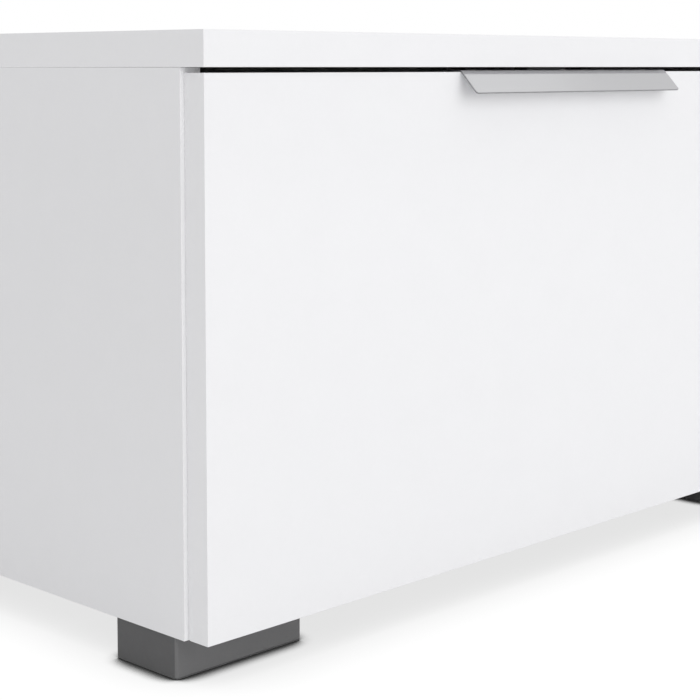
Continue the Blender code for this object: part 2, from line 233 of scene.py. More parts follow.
def lies_at(axis: Vector, value: float) -> Callable[[bmesh.types.BMEdge], bool]:
    """A test for edges that lie in the plane across an axis at a value."""
    return lambda edge: all(abs(corner.co.dot(axis) - value) < NEAR for corner in edge.verts)


def faces_to(axis: Vector) -> Callable[[bmesh.types.BMFace], bool]:
    """A test for faces whose outside looks along an axis."""
    return lambda face: face.normal.dot(axis) > PARALLEL


def round_picked(radius: float, segments: int, part: Part = Part.EDGES) -> None:
    """Rounds the edges, or the corners, that are picked in edit mode."""
    affect = "VERTICES" if part is Part.CORNERS else "EDGES"
    bpy.ops.mesh.bevel(offset=radius, segments=segments, affect=affect, profile=0.5)


def round_along(piece: bpy.types.Object, axis: Vector, radius: float,
                segments: int) -> bpy.types.Object:
    """Rounds the edges of a block that are parallel to an axis.

    Args:
        piece: the block.
        axis: the edges' way.
        radius: the rounding's radius.
        segments: how many flats make the rounding.

    Returns:
        The same piece.
    """
    with editing(piece):
        pick(piece, Part.EDGES, runs_along(axis))
        round_picked(radius, segments)
    return piece


def finish_with(piece: bpy.types.Object, kind: str, **settings: Any) -> bpy.types.Object:
    """Adds a modifier to a piece and applies it.

    Args:
        piece: the piece to finish.
        kind: Blender's name of the modifier type.
        **settings: the modifier's properties.

    Returns:
        The same piece.
    """
    alone(piece)
    modifier = piece.modifiers.new(kind.lower(), kind)
    for key, value in settings.items():
        setattr(modifier, key, value)
    bpy.ops.object.modifier_apply(modifier=modifier.name)
    return piece


def ease(piece: bpy.types.Object, radius: float, segments: int = 3,
         over: float = 40.0) -> bpy.types.Object:
    """Rounds every edge that is sharper than an angle in degrees."""
    return finish_with(piece, "BEVEL", width=radius, segments=segments, limit_method="ANGLE",
                       angle_limit=math.radians(over), use_clamp_overlap=True)


def polish(piece: bpy.types.Object, over: float = 35.0) -> bpy.types.Object:
    """Shades a piece smooth, with its flat faces kept flat.

    Args:
        piece: the piece to shade.
        over: the angle in degrees over which an edge stays sharp.

    Returns:
        The same piece.
    """
    alone(piece)
    bpy.ops.object.shade_smooth_by_angle(angle=math.radians(over))
    return finish_with(piece, "WEIGHTED_NORMAL", keep_sharp=True, weight=100)


def cut(piece: bpy.types.Object, tool: bpy.types.Object) -> bpy.types.Object:
    """Cuts a piece with a tool and throws the tool away.

    Args:
        piece: the piece to cut.
        tool: what it is cut with.

    Returns:
        The same piece.
    """
    finish_with(piece, "BOOLEAN", object=tool, operation="DIFFERENCE", solver="EXACT")
    bpy.data.objects.remove(tool, do_unlink=True)
    return piece


def placed_copy(model: bpy.types.Object, at: Vector, facing: Vector,
                turn: float = 0.0) -> bpy.types.Object:
    """A copy of a model that was made at the origin facing +Z, with its own mesh.

    Args:
        model: the piece to copy.
        at: where its origin goes.
        facing: where its +Z goes.
        turn: how far it is turned about that way, in radians.

    Returns:
        The copy.
    """
    matrix = Matrix.Translation(at) @ facing.to_track_quat("Z", "Y").to_matrix().to_4x4()
    mesh = model.data.copy()
    mesh.transform(matrix @ Matrix.Rotation(turn, 4, "Z"))
    made = bpy.data.objects.new(model.name, mesh)
    bpy.context.scene.collection.objects.link(made)
    return made


def gather(name: str, pieces: Sequence[bpy.types.Object]) -> bpy.types.Object:
    """Joins pieces into one object.

    Args:
        name: the joined piece's name.
        pieces: what it is joined from.

    Returns:
        The joined piece.
    """
    alone(pieces[0])
    for piece in pieces:
        piece.select_set(True)
    bpy.ops.object.join()
    joined = bpy.context.object
    joined.name = joined.data.name = name
    return joined


def refined_copy(node: str, name: str, edge: float) -> bpy.types.Object:
    """A copy of a CAD node with its triangles merged, its edges broken and its round parts smooth.

    Args:
        node: the CAD node.
        name: the new piece's name.
        edge: the width that its sharp edges are broken by.

    Returns:
        The new piece.
    """
    piece = bpy.data.objects.new(name, FRAME["nodes"][node].data.copy())
    bpy.context.scene.collection.objects.link(piece)
    with editing(piece):
        bpy.ops.mesh.select_all(action="SELECT")
        bpy.ops.mesh.remove_doubles(threshold=WELD)
        bpy.ops.mesh.dissolve_limited(angle_limit=math.radians(FLAT))
    ease(piece, edge, segments=2, over=50)
    return polish(piece)


# ---------------------------------------------------------------- finishes


@dataclass
class Graph:
    """A node tree, with short ways to add and link nodes."""

    tree: bpy.types.NodeTree
    noise_middle: tuple[float, float] = (0.3, 0.7)

    def add(self, kind: str, **settings: Any) -> bpy.types.Node:
        """Adds a node.

        Args:
            kind: Blender's name of the node type.
            **settings: the node's properties.

        Returns:
            The new node.
        """
        node = self.tree.nodes.new(kind)
        for key, value in settings.items():
            setattr(node, key, value)
        return node

    def feed(self, socket: bpy.types.NodeSocket, value: Any) -> None:
        """Links an output to a socket, or sets the socket's own value.

        Args:
            socket: the input socket.
            value: an output socket, or a plain value.
        """
        if isinstance(value, bpy.types.NodeSocket):
            self.tree.links.new(value, socket)
        else:
            socket.default_value = value

    def math(self, operation: str, first: Any, second: Any) -> bpy.types.NodeSocket:
        """Works out a sum or a product.

        Args:
            operation: Blender's name of the operation.
            first: a value or a socket.
            second: a value or a socket.

        Returns:
            The result.
        """
        node = self.add("ShaderNodeMath", operation=operation)
        self.feed(node.inputs[0], first)
        self.feed(node.inputs[1], second)
        return node.outputs[0]

    def noise(self, place: bpy.types.NodeSocket, size: Any, detail: float = 2.0) -> bpy.types.NodeSocket:
        """Noise between 0 and 1.

        Args:
            place: the coordinates that it is read at.
            size: its scale, in features per metre.
            detail: how many finer layers it has.

        Returns:
            The noise value.
        """
        node = self.add("ShaderNodeTexNoise")
        self.feed(node.inputs["Vector"], place)
        self.feed(node.inputs["Scale"], size)
        node.inputs["Detail"].default_value = detail
        return node.outputs["Fac"]

    def layered(self, size: Any, detail: float, finer: float, fine_share: float) -> bpy.types.NodeSocket:
        """Broad noise with finer noise mixed into it.

        Args:
            size: the broad noise's scale, in features per metre.
            detail: how many finer layers the broad noise has.
            finer: how many times smaller the fine noise is.
            fine_share: the fine noise's share.

        Returns:
            The mixed value.
        """
        place = self.here()
        broad = self.noise(place, size, detail)
        fine = self.noise(place, self.math("MULTIPLY", size, finer))
        return self.math("ADD", self.math("MULTIPLY", broad, 1 - fine_share),
                         self.math("MULTIPLY", fine, fine_share))

    def spread(self, value: bpy.types.NodeSocket, low: Any, high: Any) -> bpy.types.NodeSocket:
        """Stretches the middle of a noise value over a range.

        Args:
            value: the noise value.
            low: the start of the range.
            high: its end.

        Returns:
            The value in the range.
        """
        node = self.add("ShaderNodeMapRange")
        self.feed(node.inputs["Value"], value)
        node.inputs["From Min"].default_value, node.inputs["From Max"].default_value = self.noise_middle
        self.feed(node.inputs["To Min"], low)
        self.feed(node.inputs["To Max"], high)
        return node.outputs["Result"]

    def blend(self, share: bpy.types.NodeSocket, first: Any, second: Any) -> bpy.types.NodeSocket:
        """A colour between two colours.

        Args:
            share: the second colour's share.
            first: the first colour.
            second: the second colour.

        Returns:
            The mixed colour.
        """
        node = self.add("ShaderNodeMix", data_type="RGBA")
        self.feed(node.inputs["Factor"], share)
        self.feed(node.inputs["A"], first)
        self.feed(node.inputs["B"], second)
        return node.outputs["Result"]

    def here(self) -> bpy.types.NodeSocket:
        """The place on the object, in its own coordinates."""
        return self.add("ShaderNodeTexCoord").outputs["Object"]


class Effect:
    """A shader node group that several finishes share. It is built once, on first use."""

    name = ""
    inputs: dict[str, tuple[str, Any]] = {}
    outputs: dict[str, str] = {}

    def body(self, graph: Graph, given: bpy.types.Node, out: bpy.types.Node) -> None:
        """Fills the group.

        Args:
            graph: the group's graph.
            given: its input node.
            out: its output node.
        """
        raise NotImplementedError

    def tree(self) -> bpy.types.NodeTree:
        """Makes the group if it isn't there yet.

        Returns:
            The group.
        """
        found = bpy.data.node_groups.get(self.name)
        if found:
            return found
        tree = bpy.data.node_groups.new(self.name, "ShaderNodeTree")
        for label, (kind, value) in self.inputs.items():
            tree.interface.new_socket(label, in_out="INPUT", socket_type=kind).default_value = value
        for label, kind in self.outputs.items():
            tree.interface.new_socket(label, in_out="OUTPUT", socket_type=kind)
        graph = Graph(tree)
        self.body(graph, graph.add("NodeGroupInput"), graph.add("NodeGroupOutput"))
        return tree

    def use(self, graph: Graph, **values: Any) -> Any:
        """Places the group in a material.

        Args:
            graph: the material's graph.
            **values: input values, with _ for a space in the input's name.

        Returns:
            The group node's outputs.
        """
        node = graph.add("ShaderNodeGroup", node_tree=self.tree())
        for key, value in values.items():
            graph.feed(node.inputs[key.replace("_", " ")], value)
        return node.outputs


FLOAT, COLOUR, VECTOR = "NodeSocketFloat", "NodeSocketColor", "NodeSocketVector"


class ToneDrift(Effect):
    """Slow change between two close tones, as in any lacquered, foiled or moulded surface."""

    name = "tone_drift"
    inputs = {"Tone": (COLOUR, (0.8, 0.8, 0.8, 1)), "Other Tone": (COLOUR, (0.7, 0.7, 0.7, 1)),
              "Size": (FLOAT, 20.0)}
    outputs = {"Color": COLOUR}
    detail, finer, fine_share = 3.0, 9.0, 0.4

    def body(self, graph: Graph, given: bpy.types.Node, out: bpy.types.Node) -> None:
        """Layered noise chooses between the tones.

        Args:
            graph: the group's graph.
            given: its input node.
            out: its output node.
        """
        value = graph.layered(given.outputs["Size"], self.detail, self.finer, self.fine_share)
        share = graph.spread(value, 0.0, 1.0)
        tone = graph.blend(share, given.outputs["Tone"], given.outputs["Other Tone"])
        graph.feed(out.inputs["Color"], tone)


class SheenDrift(Effect):
    """Uneven gloss: wiped and handled patches, with finer streaks in them."""

    name = "sheen_drift"
    inputs = {"Smooth": (FLOAT, 0.2), "Dull": (FLOAT, 0.3), "Size": (FLOAT, 12.0)}
    outputs = {"Roughness": FLOAT}
    detail, finer, fine_share = 4.0, 14.0, 0.3

    def body(self, graph: Graph, given: bpy.types.Node, out: bpy.types.Node) -> None:
        """Layered noise is stretched between the two roughness values.

        Args:
            graph: the group's graph.
            given: its input node.
            out: its output node.
        """
        value = graph.layered(given.outputs["Size"], self.detail, self.finer, self.fine_share)
        gloss = graph.spread(value, given.outputs["Smooth"], given.outputs["Dull"])
        graph.feed(out.inputs["Roughness"], gloss)


class SkinRipple(Effect):
    """Height of a sprayed or foiled skin: soft waves a few millimetres long, with fine grain."""

    name = "skin_ripple"
    inputs = {"Waves": (FLOAT, 240.0), "Grain": (FLOAT, 2400.0), "Grain Share": (FLOAT, 0.3)}
    outputs = {"Height": FLOAT}
    detail = 1.0

    def body(self, graph: Graph, given: bpy.types.Node, out: bpy.types.Node) -> None:
        """Grain is added to the waves.

        Args:
            graph: the group's graph.
            given: its input node.
            out: its output node.
        """
        place = graph.here()
        waves = graph.noise(place, given.outputs["Waves"], self.detail)
        grain = graph.noise(place, given.outputs["Grain"], self.detail)
        fine = graph.math("MULTIPLY", grain, given.outputs["Grain Share"])
        graph.feed(out.inputs["Height"], graph.math("ADD", waves, fine))


class DrawnLines(Effect):
    """Fine lines left by brushing or drawing metal, long one way and short across."""

    name = "drawn_lines"
    inputs = {"Stretch": (VECTOR, (20.0, 3000.0, 3000.0)), "Bright": (COLOUR, (0.7, 0.7, 0.7, 1)),
              "Dark": (COLOUR, (0.6, 0.6, 0.6, 1)), "Smooth": (FLOAT, 0.25), "Dull": (FLOAT, 0.4)}
    outputs = {"Color": COLOUR, "Roughness": FLOAT, "Height": FLOAT}
    detail = 3.0

    def body(self, graph: Graph, given: bpy.types.Node, out: bpy.types.Node) -> None:
        """Noise on coordinates that are scaled unevenly.

        Args:
            graph: the group's graph.
            given: its input node.
            out: its output node.
        """
        stretched = graph.add("ShaderNodeVectorMath", operation="MULTIPLY")
        graph.feed(stretched.inputs[0], graph.here())
        graph.feed(stretched.inputs[1], given.outputs["Stretch"])
        lines = graph.noise(stretched.outputs[0], 1.0, self.detail)
        tone = graph.blend(graph.spread(lines, 0.0, 1.0), given.outputs["Bright"], given.outputs["Dark"])
        gloss = graph.spread(lines, given.outputs["Smooth"], given.outputs["Dull"])
        graph.feed(out.inputs["Color"], tone)
        graph.feed(out.inputs["Roughness"], gloss)
        graph.feed(out.inputs["Height"], lines)


class BoardCore(Effect):
    """Pressed wood chips and fibres, where a board is cut and left bare."""

    name = "board_core"
    inputs = {"Chips": (FLOAT, 900.0), "Pale": (COLOUR, (0.6, 0.45, 0.3, 1)),
              "Deep": (COLOUR, (0.3, 0.2, 0.12, 1))}
    outputs = {"Color": COLOUR, "Height": FLOAT}
    fibre_detail, fibre_share = 4.0, 0.5

    def body(self, graph: Graph, given: bpy.types.Node, out: bpy.types.Node) -> None:
        """Cells of one tone each, broken by noise.

        Args:
            graph: the group's graph.
            given: its input node.
            out: its output node.
        """
        place = graph.here()
        cells = graph.add("ShaderNodeTexVoronoi")
        graph.feed(cells.inputs["Vector"], place)
        graph.feed(cells.inputs["Scale"], given.outputs["Chips"])
        tone = graph.add("ShaderNodeSeparateColor")
        graph.feed(tone.inputs["Color"], cells.outputs["Color"])
        fibres = graph.noise(place, given.outputs["Chips"], self.fibre_detail)
        share = graph.math("ADD", graph.math("MULTIPLY", tone.outputs["Red"], 1 - self.fibre_share),
                           graph.math("MULTIPLY", fibres, self.fibre_share))
        graph.feed(out.inputs["Color"], graph.blend(share, given.outputs["Pale"], given.outputs["Deep"]))
        graph.feed(out.inputs["Height"], graph.math("ADD", cells.outputs["Distance"], fibres))


def opaque(colour: Colour, scale: float = 1.0) -> tuple[float, float, float, float]:
    """A colour with its alpha, made lighter or darker by a factor."""
    return (colour[0] * scale, colour[1] * scale, colour[2] * scale, 1.0)


@dataclass(frozen=True)
class Finish:
    """A surface finish: its name and colour, and how much it varies."""

    name: str
    colour: Colour
    drift: float = 0.985
    drift_size: float = 25.0
    smooth: float = 0.2
    dull: float = 0.3
    bump: float = 0.05
    bump_depth: float = 0.05 * MM
    waves: float = 240.0
    grain: float = 2400.0
    grain_share: float = 0.3

    def material(self) -> bpy.types.Material:
        """Makes the finish's material if it isn't there yet.

        Returns:
            The material.
        """
        found = bpy.data.materials.get(self.name)
        if found:
            return found
        made = bpy.data.materials.new(self.name)
        made.use_nodes = True
        graph = Graph(made.node_tree)
        shader = made.node_tree.nodes["Principled BSDF"]
        made.diffuse_color = opaque(self.colour)
        height = self.paint(graph, shader)
        relief = graph.add("ShaderNodeBump")
        relief.inputs["Strength"].default_value = self.bump
        relief.inputs["Distance"].default_value = self.bump_depth
        graph.feed(relief.inputs["Height"], height)
        graph.feed(shader.inputs["Normal"], relief.outputs["Normal"])
        return made

    def paint(self, graph: Graph, shader: bpy.types.Node) -> bpy.types.NodeSocket:
        """Feeds the shader's colour and roughness.

        Args:
            graph: the material's graph.
            shader: its shader node.

        Returns:
            The height of the relief.
        """
        tones = ToneDrift().use(graph, Tone=opaque(self.colour), Size=self.drift_size,
                                Other_Tone=opaque(self.colour, self.drift))
        graph.feed(shader.inputs["Base Color"], tones["Color"])
        gloss = SheenDrift().use(graph, Smooth=self.smooth, Dull=self.dull)
        graph.feed(shader.inputs["Roughness"], gloss["Roughness"])
        relief = SkinRipple().use(graph, Waves=self.waves, Grain=self.grain, Grain_Share=self.grain_share)
        return relief["Height"]


@dataclass(frozen=True)
class Lacquer(Finish):
    """High-gloss lacquer: a clear coat over a white ground, with a trace of orange peel."""

    waves: float = 170.0
    grain: float = 1500.0
    grain_share: float = 0.08
    coat: float = 0.35
    coat_roughness: float = 0.06

    def paint(self, graph: Graph, shader: bpy.types.Node) -> bpy.types.NodeSocket:
        """Adds the coat to the plain finish.

        Args:
            graph: the material's graph.
            shader: its shader node.

        Returns:
            The height of the relief.
        """
        shader.inputs["Coat Weight"].default_value = self.coat
        shader.inputs["Coat Roughness"].default_value = self.coat_roughness
        return super().paint(graph, shader)


@dataclass(frozen=True)
class Moulded(Finish):
    """Moulded plastic with a spark-eroded grain, finer and stronger than on a lacquered skin."""

    waves: float = 90.0
    grain: float = 2600.0
    grain_share: float = 1.2


@dataclass(frozen=True)
class DrawnMetal(Finish):
    """Bare or anodised metal with drawing lines."""

    stretch: tuple[float, float, float] = (20.0, 3000.0, 3000.0)
    metallic: float = 1.0

    def paint(self, graph: Graph, shader: bpy.types.Node) -> bpy.types.NodeSocket:
        """Lines give the tone, the gloss and the relief.

        Args:
            graph: the material's graph.
            shader: its shader node.

        Returns:
            The height of the relief.
        """
        shader.inputs["Metallic"].default_value = self.metallic
        lines = DrawnLines().use(graph, Stretch=self.stretch, Bright=opaque(self.colour),
                                 Dark=opaque(self.colour, self.drift), Smooth=self.smooth, Dull=self.dull)
        graph.feed(shader.inputs["Base Color"], lines["Color"])
        graph.feed(shader.inputs["Roughness"], lines["Roughness"])
        return lines["Height"]


@dataclass(frozen=True)
class BareBoard(Finish):
    """Cut board with its chips showing."""

    chips: float = 900.0
    roughness: float = 0.85

    def paint(self, graph: Graph, shader: bpy.types.Node) -> bpy.types.NodeSocket:
        """Chips give the colour and the relief.

        Args:
            graph: the material's graph.
            shader: its shader node.

        Returns:
            The height of the relief.
        """
        core = BoardCore().use(graph, Chips=self.chips, Pale=opaque(self.colour),
                               Deep=opaque(self.colour, self.drift))
        graph.feed(shader.inputs["Base Color"], core["Color"])
        shader.inputs["Roughness"].default_value = self.roughness
        return core["Height"]


GLOSS_WHITE = Lacquer("gloss_white_lacquer", (0.86, 0.86, 0.876), drift=0.985, drift_size=30, smooth=0.17,
                      dull=0.24, bump=0.12, bump_depth=0.03 * MM)
SATIN_WHITE = Finish("satin_white_foil", (0.85, 0.85, 0.866), drift=0.985, drift_size=35, smooth=0.32,
                     dull=0.42, bump=0.2, bump_depth=0.03 * MM)
BACK_SHEET = Finish("white_fibreboard_sheet", (0.80, 0.80, 0.79), drift=0.96, drift_size=18, smooth=0.5,
                    dull=0.65, bump=0.3, bump_depth=0.08 * MM)
FIBRE_CORE = BareBoard("fibreboard_core", (0.50, 0.36, 0.23), drift=0.55, chips=1500, bump=0.6,
                       bump_depth=0.15 * MM)
CHIP_CORE = BareBoard("chipboard_core", (0.62, 0.49, 0.33), drift=0.5, chips=650, bump=0.7,
                      bump_depth=0.2 * MM)
FOOT_PLASTIC = Moulded("dark_grey_moulding", (0.094, 0.094, 0.096), drift=0.9, drift_size=40, smooth=0.36,
                       dull=0.48, bump=0.35, bump_depth=0.04 * MM)
# Painted light: a lighter copy of the foot's moulding, for its faces that look to the front and back.
FOOT_PAINTED_LIT_FACE = Moulded("dark_grey_foot_face", (0.149, 0.149, 0.151), drift=0.93, drift_size=40, smooth=0.36,
                    dull=0.48, bump=0.35, bump_depth=0.04 * MM)
# Painted highlight: a still lighter copy of the moulding, for the foot's rounded upright corners.
FOOT_PAINTED_HIGHLIGHT = Moulded("dark_grey_rubbed_corner", (0.163, 0.163, 0.165), drift=0.93, drift_size=60,
                      smooth=0.3, dull=0.42, bump=0.2, bump_depth=0.04 * MM)
PALE_PLASTIC = Moulded("pale_grey_moulding", (0.48, 0.49, 0.50), drift=0.95, drift_size=60, smooth=0.35,
                       dull=0.5, bump=0.3, bump_depth=0.03 * MM)
CATCH_PLASTIC = Moulded("catch_grey_moulding", (0.10, 0.10, 0.103), drift=0.9, drift_size=60, smooth=0.4,
                       dull=0.55, bump=0.3, bump_depth=0.03 * MM)
# Real edge banding on the side boards' front edges, made whiter than the foil as painted light on the
# strip that the door shades.
EDGE_BAND_AND_PAINTED_LIGHT = Finish("white_edge_band", (0.97, 0.97, 0.98), drift=0.99, drift_size=60, smooth=0.3,
                   dull=0.4, bump=0.15, bump_depth=0.02 * MM)
PULL_METAL = DrawnMetal("anodised_aluminium", (0.655, 0.655, 0.67), drift=0.985, smooth=0.13, dull=0.17,
                        bump=0.04, bump_depth=0.02 * MM, stretch=(14.0, 2600.0, 2600.0), metallic=0.8)
# Painted shade: a much darker copy of the pull's metal, for the sheet's cut edges.
PULL_EDGE_PAINTED_SHADE = DrawnMetal("aluminium_cut_edge", (0.36, 0.36, 0.37), drift=0.85, smooth=0.4, dull=0.55,
                           bump=0.3, bump_depth=0.03 * MM, stretch=(900.0, 900.0, 900.0))
NICKEL = DrawnMetal("nickel_plate", (0.66, 0.65, 0.63), drift=0.85, smooth=0.18, dull=0.32, bump=0.1,
                    bump_depth=0.02 * MM, stretch=(300.0, 900.0, 900.0))
ZINC = DrawnMetal("zinc_die_casting", (0.55, 0.56, 0.57), drift=0.8, smooth=0.38, dull=0.55, bump=0.4,
                  bump_depth=0.04 * MM, stretch=(700.0, 700.0, 700.0))


def adopt(piece: bpy.types.Object, body: str, slot: str, finish: Finish, *nodes: str) -> bpy.types.Object:
    """Gives a finished piece its finish, its body and the CAD nodes it stands for.

    Args:
        piece: the finished piece.
        body: the CAD body that it rides on.
        slot: the record's material slot; not used.
        finish: the finish of its first material slot.
        *nodes: the CAD nodes that it replaces.

    Returns:
        The same piece.
    """
    if piece.data.materials:
        piece.data.materials[0] = finish.material()
    else:
        piece.data.materials.append(finish.material())
    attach(piece, body)
    if nodes:
        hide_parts(*nodes)
    LOG.info("%s rides on %s (%d faces)", piece.name, body, len(piece.data.polygons))
    return piece


def dress_faces(piece: bpy.types.Object, finish: Finish, test: Callable[[Any], bool]) -> None:
    """Gives some faces of a piece another finish than its first one.

    Args:
        piece: the piece.
        finish: the other finish.
        test: takes a face, and says whether it gets that finish.
    """
    material = finish.material()
    if material.name not in piece.data.materials:
        piece.data.materials.append(material)
    index = piece.data.materials.find(material.name)
    for face in piece.data.polygons:
        if test(face):
            face.material_index = index


def bare_inside(piece: bpy.types.Object, finish: Finish, low: Vector, high: Vector) -> None:
    """Shows bare board on the faces of a piece whose middles lie within a box.

    Args:
        piece: the piece.
        finish: the bare board's finish.
        low: the box's lowest corner.
        high: its highest corner.
    """
    if not piece.data.materials:
        piece.data.materials.append(SATIN_WHITE.material())
    dress_faces(piece, finish, lambda face: all(low[i] <= face.center[i] <= high[i] for i in range(3)))


# ---------------------------------------------------------------- fasteners


@dataclass(frozen=True)
class HeadSize:
    """A round head, and the half lengths of the arms of its cross recess."""

    radius: float
    height: float
    arm: float
    arm_width: float


class Head(Enum):
    """The fasteners whose heads show."""

    SCREW = HeadSize(3.0 * MM, 0.35 * MM, 1.7 * MM, 0.32 * MM)
    CAM = HeadSize(7.5 * MM, 0.4 * MM, 4.2 * MM, 0.8 * MM)


@dataclass
class Fasteners:
    """Screw heads and cam locks. Each is modelled once, at the origin, facing +Z.

    The shares are of the head's radius (rim, softening) or height (dome, recess).
    """

    sides: int = 36
    rim_share: float = 0.22
    dome_share: float = 0.25
    recess_share: float = 0.2
    softening: float = 0.03
    turn_step: float = 0.9
    models: dict[Head, bpy.types.Object] = field(default_factory=dict)

    def build(self) -> None:
        """Makes the models."""
        for head in Head:
            self.models[head] = self.cross_headed(head.name.lower(), head.value)

    def cross_headed(self, name: str, size: HeadSize) -> bpy.types.Object:
        """A low round head with a cross recess and a softened rim.

        Args:
            name: the model's name.
            size: its sizes.

        Returns:
            The model.
        """
        head = drum(name, -Z * size.height, Z * size.height, size.radius, self.sides)
        with editing(head):
            pick(head, Part.FACES, faces_to(Z))
            bpy.ops.mesh.inset(thickness=size.radius * self.rim_share)
            bpy.ops.transform.translate(value=(0, 0, size.height * self.dome_share))
        floor, above = -size.height * self.recess_share, size.height * 3
        for long_x, long_y in ((size.arm, size.arm_width), (size.arm_width, size.arm)):
            cut(head, block("recess", (-long_x, -long_y, floor), (long_x, long_y, above)))
        ease(head, size.radius * self.softening, segments=2, over=30)
        return polish(head)

    def fix(self, head: Head, name: str, body: str, spots: Spots) -> None:
        """Places a group of one fastener, as one piece that rides on a body.

        Args:
            head: the fastener.
            name: the group's name.
            body: the CAD body.
            spots: for each copy, where it sits and where it faces.
        """
        copies = [placed_copy(self.models[head], Vector(at), Vector(facing), turn=self.turn_step * i)
                  for i, (at, facing) in enumerate(spots)]
        adopt(gather(name, copies), body, "steel", NICKEL if head is Head.SCREW else ZINC)

    def clear(self) -> None:
        """Throws the models away once all copies are made."""
        for model in self.models.values():
            bpy.data.objects.remove(model, do_unlink=True)


# ---------------------------------------------------------------- sub-assemblies


@dataclass
class TopBoard:
    """The lacquered top over both bays."""

    node: str = "top_panel"
    edge: float = 0.2 * MM

    def build(self) -> None:
        """A slab with lightly rounded edges."""
        piece = block("lacquered_top", *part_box(self.node))
        adopt(polish(ease(piece, self.edge)), "case", "gloss_white", GLOSS_WHITE, self.node)


@dataclass
class BayCase:
    """One bay's box: side boards, base board and back sheet, with their fixings."""

    side: Side
    fasteners: Fasteners
    edge: float = 0.3 * MM
    band_facing: float = 0.7
    cam_inset: float = 34 * MM
    side_cam_inset: float = 90 * MM
    base_cam_rows: tuple[float, float] = (-70 * MM, 85 * MM)
    hinge_room: float = 0.4 * MM
    leaf_thick: float = 1.5 * MM
    outlet_rim: float = 4 * MM
    outlet_corner: float = 12 * MM
    back_inset: float = 0.5 * MM
    back_edge: float = 0.15 * MM
    back_skin: float = 0.2 * MM
    back_screws: int = 6
    back_screw_inset: float = 30 * MM
    back_screw_rise: float = 8 * MM

    def build(self) -> None:
        """Makes every board of the bay."""
        for end in End:
            self.side_board(end)
        self.base_board()
        self.back_sheet()

    def side_board(self, end: End) -> None:
        """A foiled side board with two cam locks near its top, on the inside.

        Args:
            end: which of the bay's two side boards it is.
        """
        tag = f"{self.side.label}_{end.value}"
        node = f"side_panel_{tag}"
        low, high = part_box(node)
        board = polish(ease(block(f"side_board_{tag}", low, high), self.edge, segments=2))
        adopt(board, "case", "satin_white", SATIN_WHITE, node)
        # The front-facing faces get the edge banding: partly real banding, partly painted light.
        dress_faces(board, EDGE_BAND_AND_PAINTED_LIGHT, lambda face: face.normal.y < -self.band_facing)
        inward = self.side.value if end is End.INNER else -self.side.value
        face_x = high.x if inward > 0 else low.x
        z = high.z - self.cam_inset
        spots = [(Vector((face_x, y, z)), X * inward)
                 for y in (low.y + self.side_cam_inset, high.y - self.side_cam_inset)]
        self.fasteners.fix(Head.CAM, f"top_cams_{tag}", "case", spots)

    def base_board(self) -> None:
        """The board under the bay, with hinge rebates and cam locks below."""
        label = self.side.label
        node = f"bottom_panel_{label}"
        low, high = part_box(node)
        board = ease(block(f"base_board_{label}", low, high), self.edge, segments=2)
        room = self.hinge_room
        grow = Vector((room, room, room)) / 4
        depth = self.leaf_thick + room
        for end in End:
            leaf_low, leaf_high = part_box(f"hinge_frame_leaf_{label}_{end.value}")
            start = Vector((leaf_low.x - room, low.y - room, low.z - PAST))
            stop = Vector((leaf_high.x + room, leaf_high.y + room, low.z + depth))
            cut(board, block("rebate", start, stop))
            bare_inside(board, CHIP_CORE, start - grow, stop + grow)
        adopt(polish(board), "case", "satin_white", SATIN_WHITE, node)
        spots = [(Vector((x, y, low.z)), -Z)
                 for x in (low.x + self.cam_inset, high.x - self.cam_inset) for y in self.base_cam_rows]
        self.fasteners.fix(Head.CAM, f"base_cams_{label}", "case", spots)

    def back_sheet(self) -> None:
        """The thin back with its rounded cable opening and a row of screws into the base board."""
        label = self.side.label
        node = f"back_panel_{label}"
        low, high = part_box(node)
        openings = FRAME["record"]["physics"]["openings"]
        outlet = next(opening for opening in openings if opening["name"] == f"cable_outlet_{label}")
        hole_low, hole_high = (Vector(corner) for corner in outlet["box_m"])
        rim, skin = self.outlet_rim, self.back_skin
        hole = block("cable_hole", (hole_low.x - rim, low.y - rim, hole_low.z - rim),
                     (hole_high.x + rim, high.y + rim, hole_high.z + rim))
        round_along(hole, Y, self.outlet_corner, segments=10)
        high.y -= self.back_inset
        board = cut(block(f"back_sheet_{label}", low, high), hole)
        ease(board, self.back_edge, segments=2, over=60)
        bare_inside(board, FIBRE_CORE, Vector((hole_low.x - 2 * rim, low.y + skin, hole_low.z - 2 * rim)),
                    Vector((hole_high.x + 2 * rim, high.y - skin, hole_high.z + 2 * rim)))
        adopt(polish(board), "case", "back_board", BACK_SHEET, node)
        step = (high.x - low.x - 2 * self.back_screw_inset) / (self.back_screws - 1)
        start = Vector((low.x + self.back_screw_inset, high.y, low.z + self.back_screw_rise))
        spots = [(start + X * step * i, Y) for i in range(self.back_screws)]
        self.fasteners.fix(Head.SCREW, f"back_screws_{label}", "case", spots)


